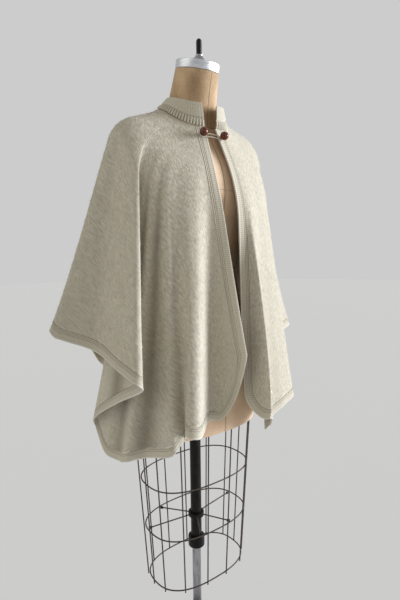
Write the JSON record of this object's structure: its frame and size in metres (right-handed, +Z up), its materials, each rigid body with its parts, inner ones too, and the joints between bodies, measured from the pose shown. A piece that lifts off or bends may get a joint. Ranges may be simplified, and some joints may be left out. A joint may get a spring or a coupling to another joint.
{
  "type": "knitted cape on a limbless dress form with a wire cage and a pole stand",
  "caption": "Cream brushed-knit cape with ribbed stand collar, knit edge bands and ball buttons with a cord loop, on a dress form with wire cage and pole stand.",
  "frame": {"origin": "on the floor, at the middle of the stand's base and on the pole's axis", "axes": "+Z up along the pole; the form and the cape's opening face -Y, so the wearer's right is at -X"},
  "size_m": [0.7322, 0.4643, 1.6456],
  "materials": {
    "wool_cloth": "brushed mohair knit, cream",
    "wool_rib": "fine rib knit, cream",
    "linen": "tan linen stretched over the form",
    "cap_metal": "satin",
    "black_enamel": "gloss black",
    "black_iron": "black paint over iron",
    "chrome_pole": "polished",
    "cage_wire": "dark brown wire",
    "button_brown": "glossy red-brown",
    "cord_cream": "twisted cream cord"
  },
  "bodies": {
    "stand": {"base": "black_iron", "pole_lower": "chrome_pole"},
    "lock": {"lock_collar": "black_enamel"},
    "screw": {"lock_screw": "chrome_pole", "lock_knob": "black_enamel"},
    "form": {"front_right": "wool_cloth", "front_left": "wool_cloth", "back": "wool_cloth", "band_right": "wool_rib", "band_left": "wool_rib", "band_back": "wool_rib", "collar": "wool_rib", "torso": "linen", "neck_cap": "cap_metal", "cap_hub": "cap_metal", "finial": "black_enamel", "tube_upper": "black_enamel", "underside_flange": "black_enamel", "cage_hub": "black_enamel", "cage_ring_1": "cage_wire", "cage_ring_2": "cage_wire", "cage_ring_3": "cage_wire", "cage_wire_01": "cage_wire", "cage_wire_02": "cage_wire", "cage_wire_03": "cage_wire", "cage_wire_04": "cage_wire", "cage_wire_05": "cage_wire", "cage_wire_06": "cage_wire", "cage_wire_07": "cage_wire", "cage_wire_08": "cage_wire", "cage_wire_09": "cage_wire", "cage_wire_10": "cage_wire", "cage_wire_11": "cage_wire", "cage_wire_12": "cage_wire", "cage_wire_13": "cage_wire", "cage_wire_14": "cage_wire", "cage_spoke_1": "cage_wire", "cage_nut_1": "black_enamel", "cage_spoke_2": "cage_wire", "cage_nut_2": "black_enamel", "cage_spoke_3": "cage_wire", "cage_nut_3": "black_enamel", "cage_spoke_4": "cage_wire", "cage_nut_4": "black_enamel", "cage_spoke_5": "cage_wire", "cage_nut_5": "black_enamel", "cage_spoke_6": "cage_wire", "cage_nut_6": "black_enamel", "button_right": "button_brown", "button_left": "button_brown", "button_shank_right": "cord_cream", "button_shank_left": "cord_cream", "button_loop": "cord_cream"}
  },
  "joints": [
    {"name": "height", "type": "slide", "parent": "stand", "child": "lock", "axis": [0, 0, 1], "range_m": [-0.1, 0.14]},
    {"name": "screw_turn", "type": "hinge", "parent": "lock", "child": "screw", "pos_m": [0, 0, 0.3747], "axis": [0.5948, 0.8039, 0], "continuous": true},
    {"name": "form_turn", "type": "hinge", "parent": "lock", "child": "form", "pos_m": [0, 0, 0.389], "axis": [0, 0, 1], "continuous": true}
  ]
}
